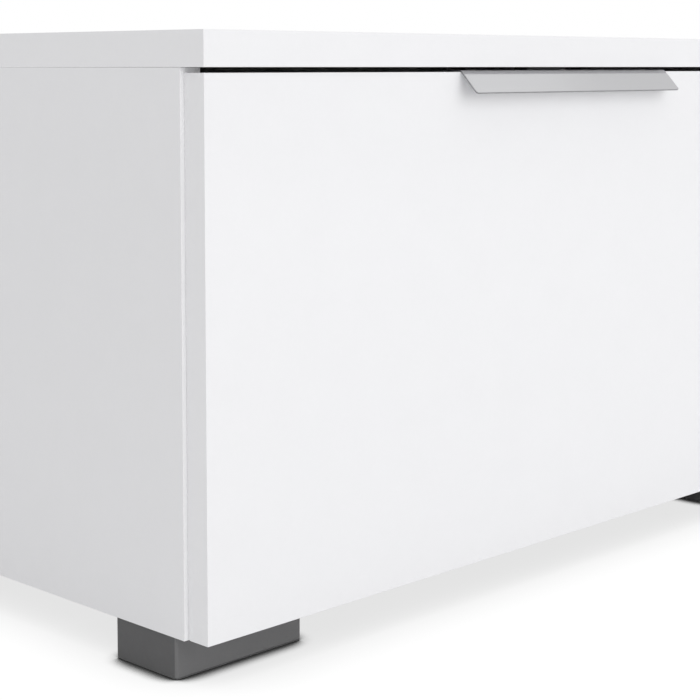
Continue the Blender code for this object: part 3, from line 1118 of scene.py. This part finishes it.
@dataclass
class DropDoor:
    """A lacquered drop front with milled hinge pockets, relieved where it swings past its box."""

    side: Side
    edge: float = 0.2 * MM
    seat: float = 0.36 * MM
    relief: float = 2.0 * MM
    hinge_room: float = 0.4 * MM
    leaf_thick: float = 1.5 * MM
    knuckle_rise: float = 5 * MM

    def build(self) -> None:
        """A slab with rounded edges and two hinge pockets."""
        label = self.side.label
        node = f"door_{label}"
        low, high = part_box(node)
        piece = block(f"lacquered_front_{label}", low, high + Y * self.seat)
        with editing(piece):
            pick(piece, Part.EDGES,
                 lambda edge: all(v.co.z < low.z + self.edge and v.co.y > high.y for v in edge.verts))
            round_picked(self.relief, segments=4)
        ease(piece, self.edge)
        for end in End:
            self.hinge_pocket(piece, end)
        adopt(polish(piece), f"door_{label}", "gloss_white", GLOSS_WHITE, node)

    def hinge_pocket(self, piece: bpy.types.Object, end: End) -> None:
        """Mills the room for a hinge's leaf and knuckles, and shows the board's core in it.

        Args:
            piece: the door.
            end: which of its two hinges it is.
        """
        low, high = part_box(f"door_{self.side.label}")
        leaf_low, leaf_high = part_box(f"hinge_door_leaf_{self.side.label}_{end.value}")
        room = self.hinge_room
        grow = Vector((room, room, room)) / 4
        sill, behind = low.z - PAST, high.y + PAST
        pocket = (Vector((leaf_low.x - room, leaf_high.y - self.leaf_thick - room, sill)),
                  Vector((leaf_high.x + room, behind, leaf_high.z + room)))
        groove = (Vector((leaf_low.x - room, leaf_low.y - room, sill)),
                  Vector((leaf_high.x + room, behind, low.z + self.knuckle_rise + room)))
        for start, stop in (pocket, groove):
            cut(piece, block("pocket", start, stop))
        for start, stop in (pocket, groove):
            bare_inside(piece, CHIP_CORE, start - grow, Vector((stop.x, high.y - room, stop.z)) + grow)


@dataclass
class EdgePull:
    """The folded aluminium pull over the door's top edge."""

    side: Side
    fasteners: Fasteners
    slope: float = math.radians(43.1)
    over_door: float = 0.3 * MM
    ahead: float = 0.5 * MM
    settled: float = 0.25 * MM
    bend: float = 1.3 * MM
    corner: float = 2.0 * MM
    edge: float = 0.12 * MM
    screw_inset: float = 20 * MM
    screw_sink: float = 0.15 * MM

    def build(self) -> None:
        """Folds the pull, softens its edges and screws it on the door."""
        label = self.side.label
        node = f"handle_{label}"
        low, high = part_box(node)
        door_low, door_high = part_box(f"door_{label}")
        thick = high.z - (door_high.z + self.over_door)
        high.z -= self.settled
        strip = self.folded(f"folded_pull_{label}", low, high, door_low.y - self.ahead, thick)
        ease(strip, self.edge, segments=2, over=60)
        adopt(polish(strip), f"door_{label}", "handle_aluminium", PULL_METAL, node)
        y, z = (door_low.y + high.y) / 2, high.z - self.screw_sink
        spots = [(Vector((x, y, z)), Z)
                 for x in (low.x + self.screw_inset, (low.x + high.x) / 2, high.x - self.screw_inset)]
        self.fasteners.fix(Head.SCREW, f"pull_screws_{label}", f"door_{label}", spots)

    def folded(self, name: str, low: Vector, high: Vector, fold_y: float,
               thick: float) -> bpy.types.Object:
        """A flat strip, folded forwards and down, and then given its thickness.

        Args:
            name: the strip's name.
            low: the pull's lowest corner.
            high: its highest corner.
            fold_y: where the fold runs.
            thick: the sheet's thickness.

        Returns:
            The strip, with the darker metal of painted shade on its cut edges in its second slot.
        """
        fall = (high.z - low.z) - thick * math.sin(self.slope)
        middle = ((low.x + high.x) / 2, (fold_y + high.y) / 2, high.z)
        bpy.ops.object.select_all(action="DESELECT")
        bpy.ops.mesh.primitive_plane_add(size=1.0, location=middle)
        bpy.context.object.scale = (high.x - low.x, high.y - fold_y, 1)
        strip = settle(bpy.context.object, name)
        # The second slot holds the painted shade of the cut edges.
        for finish in (PULL_METAL, PULL_EDGE_PAINTED_SHADE):
            strip.data.materials.append(finish.material())
        with editing(strip):
            pick(strip, Part.EDGES, lies_at(Y, fold_y))
            bpy.ops.mesh.extrude_region_move(TRANSFORM_OT_translate={"value": (0, low.y - fold_y, -fall)})
            pick(strip, Part.EDGES, lies_at(Y, fold_y))
            round_picked(self.bend, segments=6)
            pick(strip, Part.CORNERS, lambda corner: corner.co.z < high.z - fall + NEAR)
            round_picked(self.corner, segments=8, part=Part.CORNERS)
            bpy.ops.mesh.select_all(action="SELECT")
            bpy.ops.mesh.normals_make_consistent(inside=False)
        if max(strip.data.polygons, key=lambda face: face.area).normal.z < 0:
            strip.data.flip_normals()
        return finish_with(strip, "SOLIDIFY", thickness=thick, offset=-1.0, use_even_offset=True,
                           material_offset_rim=1)


@dataclass
class BlockFoot:
    """A moulded block foot, hollow underneath round its screw."""

    node: str
    fasteners: Fasteners
    upright_r: float = 2.0 * MM
    bottom_r: float = 1.6 * MM
    edge: float = 0.2 * MM
    wall: float = 4.0 * MM
    hollow: float = 16.0 * MM
    boss_r: float = 7 * MM
    boss_rise: float = 2 * MM
    boss_edge: float = 0.4 * MM
    rib: float = 0.8 * MM
    rib_rise: float = 5 * MM
    overlap: float = 1 * MM
    skin: float = 1 * MM
    square: float = 0.99
    askew: float = 0.1

    def build(self) -> None:
        """Makes the foot and its screw, with painted light on its front and back faces and a painted
        highlight on its rounded upright corners.
        """
        low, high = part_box(self.node)
        name = self.node.replace("foot_", "block_foot_")
        boss = Vector(((low.x + high.x) / 2, (low.y + high.y) / 2, low.z + self.boss_rise))
        piece = gather(name, [self.shell(name, low, high), *self.inside(low, high, boss)])
        adopt(polish(piece), "case", "foot_plastic", FOOT_PLASTIC, self.node)
        outer = [face.index for face in piece.data.polygons if self.is_outside(face, low, high)]
        # Painted light: the outer faces that look to the front or back get the lighter copy of the
        # moulding.
        dress_faces(piece, FOOT_PAINTED_LIT_FACE,
                    lambda face: face.index in outer and abs(face.normal.y) > self.square)
        # Painted highlight: the rounded upright corners get the still lighter copy of the moulding.
        dress_faces(piece, FOOT_PAINTED_HIGHLIGHT,
                    lambda face: face.index in outer and self.is_upright_corner(face.normal))
        screw_name = name.replace("block_foot", "foot_screw")
        self.fasteners.fix(Head.SCREW, screw_name, "case", [(boss, -Z)])

    def shell(self, name: str, low: Vector, high: Vector) -> bpy.types.Object:
        """A block with rounded uprights and bottom edges, hollowed from below.

        Args:
            name: the piece's name.
            low: the foot's lowest corner.
            high: its highest corner.

        Returns:
            The shell.
        """
        piece = round_along(block(name, low, high), Z, self.upright_r, segments=8)
        with editing(piece):
            pick(piece, Part.EDGES, lies_at(Z, low.z))
            round_picked(self.bottom_r, segments=5)
            pick(piece, Part.FACES, faces_to(-Z))
            bpy.ops.mesh.inset(thickness=self.wall)
            bpy.ops.mesh.extrude_region_move(TRANSFORM_OT_translate={"value": (0, 0, self.hollow)})
        return ease(piece, self.edge, segments=2, over=60)

    def inside(self, low: Vector, high: Vector, boss: Vector) -> list[bpy.types.Object]:
        """The screw boss and two crossed ribs in the hollow.

        Args:
            low: the foot's lowest corner.
            high: its highest corner.
            boss: the middle of the boss's lower end.

        Returns:
            The three pieces.
        """
        roof = low.z + self.hollow + self.overlap
        start = low.z + self.rib_rise
        skirt, rib = self.wall - self.overlap, self.rib
        post = drum("boss", boss, Vector((boss.x, boss.y, roof)), self.boss_r)
        return [
            ease(post, self.boss_edge, segments=2),
            block("rib", (low.x + skirt, boss.y - rib, start), (high.x - skirt, boss.y + rib, roof)),
            block("rib", (boss.x - rib, low.y + skirt, start), (boss.x + rib, high.y - skirt, roof)),
        ]

    def is_outside(self, face: bpy.types.MeshPolygon, low: Vector, high: Vector) -> bool:
        """Whether a face lies on the foot's outer skin.

        Args:
            face: the face.
            low: the foot's lowest corner.
            high: its highest corner.

        Returns:
            True where its middle is within the skin of a side.
        """
        x, y, _ = face.center
        return min(x - low.x, high.x - x, y - low.y, high.y - y) < self.skin

    def is_upright_corner(self, normal: Vector) -> bool:
        """Whether a face with this normal belongs to a rounded upright edge."""
        return abs(normal.z) < self.askew and min(abs(normal.x), abs(normal.y)) > self.askew


@dataclass
class ButtHinge:
    """A butt hinge: two leaves on a pin, each leaf with an outer pair of screws and one between."""

    side: Side
    end: End
    fasteners: Fasteners
    edge: float = 0.15 * MM
    screw_spread: float = 20 * MM
    frame_screws: tuple[float, float] = (10 * MM, 22 * MM)
    door_screws: tuple[float, float] = (9 * MM, 16 * MM)

    def build(self) -> None:
        """Refines the leaves and the pin, and adds the screws."""
        tag = f"{self.side.label}_{self.end.value}"
        door = f"door_{self.side.label}"
        for kind, name, body in (("frame_leaf", "frame_leaf", "case"), ("door_leaf", "door_leaf", door),
                                 ("pin", "leaf_pin", "case")):
            node = f"hinge_{kind}_{tag}"
            adopt(refined_copy(node, f"{name}_{tag}", self.edge), body, "steel", NICKEL, node)
        low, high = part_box(f"hinge_frame_leaf_{tag}")
        middle = (low.x + high.x) / 2
        spots = [(Vector((middle + along, high.y - back, low.z)), -Z)
                 for along, back in self.triangle(*self.frame_screws)]
        self.fasteners.fix(Head.SCREW, f"frame_leaf_screws_{tag}", "case", spots)
        low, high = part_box(f"hinge_door_leaf_{tag}")
        spots = [(Vector((middle + along, high.y, high.z - down)), Y)
                 for along, down in self.triangle(*self.door_screws)]
        self.fasteners.fix(Head.SCREW, f"door_leaf_screws_{tag}", door, spots)

    def triangle(self, outer: float, between: float) -> list[tuple[float, float]]:
        """Three places on a leaf: how far along it and how far in from its free edge each one is."""
        return [(-self.screw_spread, outer), (0.0, between), (self.screw_spread, outer)]


@dataclass
class FlapStay:
    """The stay that lets a door down, from a plate on the side board to a bracket on the door."""

    side: Side
    end: End
    fasteners: Fasteners
    edge: float = 0.25 * MM
    sheet: float = 2 * MM
    plate_screws: float = 16 * MM
    bracket_screws: float = 9 * MM
    bracket_screw_inset: float = 5 * MM

    def build(self) -> None:
        """Refines the four members, and adds the screws of the plate and the bracket."""
        tag = f"{self.side.label}_{self.end.value}"
        door = f"door_{self.side.label}"
        homes = {"plate": "case", "swivel": f"stay_swivel_{tag}",
                 "rod": f"stay_rod_{tag}", "bracket": door}
        for member, body in homes.items():
            node = f"stay_{member}_{tag}"
            slot, finish = ("grey_plastic", PALE_PLASTIC) if member == "swivel" else ("steel", NICKEL)
            adopt(refined_copy(node, f"flap_{member}_{tag}", self.edge), body, slot, finish, node)
        low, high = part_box(f"stay_plate_{tag}")
        board_low, board_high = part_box(f"side_panel_{tag}")
        inward = 1 if low.x > (board_low.x + board_high.x) / 2 else -1
        x = low.x + self.sheet if inward > 0 else high.x - self.sheet
        centre = (low + high) / 2
        spots = [(Vector((x, centre.y, centre.z + rise)), X * inward)
                 for rise in (-self.plate_screws, self.plate_screws)]
        self.fasteners.fix(Head.SCREW, f"plate_screws_{tag}", "case", spots)
        low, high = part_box(f"stay_bracket_{tag}")
        x = high.x - self.bracket_screw_inset if inward > 0 else low.x + self.bracket_screw_inset
        spots = [(Vector((x, low.y + self.sheet, (low.z + high.z) / 2 + rise)), Y)
                 for rise in (-self.bracket_screws, self.bracket_screws)]
        self.fasteners.fix(Head.SCREW, f"bracket_screws_{tag}", door, spots)


@dataclass
class MagnetCatch:
    """A magnet under the top and its strike plate on the door."""

    side: Side
    fasteners: Fasteners
    corner: float = 2.5 * MM
    edge: float = 0.5 * MM
    pole_thick: float = 1.5 * MM
    pole_depth: float = 3 * MM
    pole_proud: float = 0.3 * MM
    pole_inset: float = 8 * MM
    pole_edge: float = 0.2 * MM
    low_pole: float = 3 * MM
    high_pole: float = 5 * MM
    screw_inset: float = 6 * MM
    strike_corner: float = 2 * MM
    strike_edge: float = 0.15 * MM
    strike_screw_sink: float = 0.1 * MM

    def build(self) -> None:
        """Makes the magnet and its strike plate."""
        self.magnet()
        self.strike()

    def magnet(self) -> None:
        """A softened housing with two pole strips, screwed up under the top."""
        label = self.side.label
        node = f"magnet_catch_{label}"
        low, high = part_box(node)
        housing = round_along(block(f"catch_housing_{label}", low, high), Z, self.corner, segments=6)
        ease(housing, self.edge, segments=3, over=60)
        adopt(polish(housing), "case", "grey_plastic", CATCH_PLASTIC, node)
        front, behind = low.y - self.pole_proud, low.y + self.pole_depth
        strips = [block("pole", (low.x + self.pole_inset, front, z),
                        (high.x - self.pole_inset, behind, z + self.pole_thick))
                  for z in (low.z + self.low_pole, high.z - self.high_pole)]
        poles = gather(f"catch_poles_{label}", strips)
        adopt(polish(ease(poles, self.pole_edge, segments=2)), "case", "steel", ZINC)
        spots = [(Vector((x, (low.y + high.y) / 2, low.z)), -Z)
                 for x in (low.x + self.screw_inset, high.x - self.screw_inset)]
        self.fasteners.fix(Head.SCREW, f"catch_screws_{label}", "case", spots)

    def strike(self) -> None:
        """A small plate with round corners, screwed on the door's back."""
        label = self.side.label
        node = f"strike_plate_{label}"
        low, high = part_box(node)
        plate = round_along(block(f"strike_{label}", low, high), Y, self.strike_corner, segments=5)
        ease(plate, self.strike_edge, segments=2, over=60)
        adopt(polish(plate), f"door_{label}", "steel", NICKEL, node)
        y, z = high.y - self.strike_screw_sink, (low.z + high.z) / 2
        spots = [(Vector((x, y, z)), Y) for x in (low.x + self.screw_inset, high.x - self.screw_inset)]
        self.fasteners.fix(Head.SCREW, f"strike_screws_{label}", f"door_{label}", spots)


@dataclass
class CaseBolt:
    """A sleeve bolt through the two middle side boards, with a hexagon socket at each end."""

    place: str
    edge: float = 0.4 * MM
    socket_r: float = 2.9 * MM
    socket_depth: float = 1.6 * MM

    def build(self) -> None:
        """Refines the bolt and cuts its sockets."""
        node = f"case_bolt_{self.place}"
        low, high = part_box(node)
        middle = (low + high) / 2
        piece = refined_copy(node, f"sleeve_bolt_{self.place}", self.edge)
        for way, face in ((-X, low.x), (X, high.x)):
            mouth = Vector((face, middle.y, middle.z))
            bottom = mouth - way * self.socket_depth
            cut(piece, drum("socket", bottom, mouth + way * PAST, self.socket_r, sides=6))
        adopt(polish(piece), "case", "steel", NICKEL, node)


# ---------------------------------------------------------------- studio


@dataclass(frozen=True)
class StudioCamera:
    """A long lens near the left front corner, level with the underside of the top."""

    from_corner: Place = (-661.8 * MM, -767.1 * MM, 0.2 * MM)
    lens: float = 88.63
    sensor: float = 36.0
    clip: tuple[float, float] = (0.02, 100.0)
    yaw: float = math.radians(45.624)
    pitch: float = math.radians(4.797)
    shift_y: float = -0.1984

    def place(self) -> None:
        """Makes the camera and sets it as the scene's."""
        low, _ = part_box("top_panel")
        data = bpy.data.cameras.new("studio_camera")
        data.lens, data.sensor_width, data.shift_y = self.lens, self.sensor, self.shift_y
        data.clip_start, data.clip_end = self.clip
        camera = bpy.data.objects.new("studio_camera", data)
        camera.location = low + Vector(self.from_corner)
        camera.rotation_euler = (math.pi / 2 - self.pitch, 0, -self.yaw)
        bpy.context.scene.collection.objects.link(camera)
        bpy.context.scene.camera = camera


@dataclass(frozen=True)
class Softbox:
    """A rectangular soft light: its power in watts, and in metres its size, its place and its aim."""

    name: str
    power: float
    size: tuple[float, float]
    at: Place
    towards: Place
    in_gloss: bool = True

    def place(self) -> None:
        """Makes the light, unseen by the camera, and by glossy surfaces unless in_gloss is set."""
        data = bpy.data.lights.new(f"{self.name}_softbox", "AREA")
        data.shape = "RECTANGLE"
        data.size, data.size_y = self.size
        data.energy = self.power
        light = bpy.data.objects.new(data.name, data)
        light.location = self.at
        aim = Vector(self.towards) - Vector(self.at)
        light.rotation_euler = aim.to_track_quat("-Z", "Y").to_euler()
        light.visible_camera = False
        light.visible_glossy = self.in_gloss
        bpy.context.scene.collection.objects.link(light)


@dataclass(frozen=True)
class Shade:
    """Soft shade on the floor round what stands on it.

    It has a reach, and the place where it is deepest and where it ends, each given as the share
    of open sky there and the brightness there.
    """

    reach: float
    deepest: tuple[float, float]
    ended: tuple[float, float]
    samples: int = 16

    def brightness(self, graph: Graph) -> bpy.types.NodeSocket:
        """How bright a place on the floor is for what stands near it.

        Args:
            graph: the floor material's graph.

        Returns:
            The brightness.
        """
        around = graph.add("ShaderNodeAmbientOcclusion", samples=self.samples)
        around.inputs["Distance"].default_value = self.reach
        scaled = graph.add("ShaderNodeMapRange", interpolation_type="SMOOTHSTEP")
        graph.feed(scaled.inputs["Value"], around.outputs["AO"])
        for label, value in zip(("From Min", "To Min", "From Max", "To Max"), self.deepest + self.ended):
            scaled.inputs[label].default_value = value
        return scaled.outputs["Result"]


@dataclass(frozen=True)
class Studio:
    """An overexposed white floor in even white light, with one large soft light before the front.

    Two weak softboxes, high on the right and over the top, lift the boards and the pull a little.
    """

    floor_size: float = 60.0
    floor_albedo: float = 0.9
    sky: float = 0.745
    softboxes: tuple[Softbox, ...] = (
        Softbox("front", 59.5, (4.2, 3.2), (0.0, -3.98, 1.75), (0.0, 0.0, 0.3), in_gloss=False),
        Softbox("right", 2.6, (2.4, 2.0), (2.56, -0.25, 3.8), (-0.35, -0.21, 0.37)),
        Softbox("overhead", 3.5, (2.2, 0.9), (-0.9, 0.25, 2.4), (-0.9, 0.1, 0.4)),
    )
    contact_shade: Shade = Shade(20 * MM, (0.5, 0.03), (0.89, 1.0))
    wide_shade: Shade = Shade(74 * MM, (0.1, 0.77), (0.97, 1.03))

    def build(self) -> None:
        """Makes the floor and the lights, and sets plain colour handling."""
        bpy.context.scene.view_settings.view_transform = "Standard"
        bpy.context.scene.view_settings.look = "None"
        self.floor()
        self.sky_light()
        for softbox in self.softboxes:
            softbox.place()

    def floor(self) -> None:
        """A large plane: seen directly it is plain white with soft shade, else it is matt."""
        bpy.ops.object.select_all(action="DESELECT")
        bpy.ops.mesh.primitive_plane_add(size=self.floor_size)
        floor = settle(bpy.context.object, "studio_floor")
        paint = bpy.data.materials.new("studio_floor_paint")
        paint.use_nodes = True
        graph = Graph(paint.node_tree)
        paint.node_tree.nodes.remove(paint.node_tree.nodes["Principled BSDF"])
        matt = graph.add("ShaderNodeBsdfDiffuse")
        matt.inputs["Color"].default_value = (self.floor_albedo,) * 3 + (1,)
        seen = graph.add("ShaderNodeEmission")
        near, wide = self.contact_shade.brightness(graph), self.wide_shade.brightness(graph)
        graph.feed(seen.inputs["Strength"], graph.math("MULTIPLY", near, wide))
        mixed = graph.add("ShaderNodeMixShader")
        graph.feed(mixed.inputs[0], graph.add("ShaderNodeLightPath").outputs["Is Camera Ray"])
        graph.feed(mixed.inputs[1], matt.outputs[0])
        graph.feed(mixed.inputs[2], seen.outputs[0])
        graph.feed(paint.node_tree.nodes["Material Output"].inputs["Surface"], mixed.outputs[0])
        floor.data.materials.append(paint)

    def sky_light(self) -> None:
        """Even world light, plain white to the camera."""
        world = bpy.data.worlds.new("studio_sky")
        bpy.context.scene.world = world
        world.use_nodes = True
        graph = Graph(world.node_tree)
        background = world.node_tree.nodes["Background"]
        strength = graph.add("ShaderNodeMix", data_type="FLOAT")
        graph.feed(strength.inputs["Factor"], graph.add("ShaderNodeLightPath").outputs["Is Camera Ray"])
        graph.feed(strength.inputs["A"], self.sky)
        graph.feed(strength.inputs["B"], 1.0)
        background.inputs["Color"].default_value = (1, 1, 1, 1)
        graph.feed(background.inputs["Strength"], strength.outputs["Result"])


def main() -> None:
    logging.basicConfig(level=logging.INFO, format="%(name)s: %(message)s")
    StudioCamera().place()
    fasteners = Fasteners()
    fasteners.build()
    TopBoard().build()
    for side in Side:
        BayCase(side, fasteners).build()
        DropDoor(side).build()
        EdgePull(side, fasteners).build()
        MagnetCatch(side, fasteners).build()
        for end in End:
            ButtHinge(side, end, fasteners).build()
            FlapStay(side, end, fasteners).build()
            for place in ("front", "rear"):
                BlockFoot(f"foot_{side.label}_{place}_{end.value}", fasteners).build()
    for place in ("front", "rear"):
        CaseBolt(place).build()
    fasteners.clear()
    Studio().build()


if __name__ == "__main__":
    main()
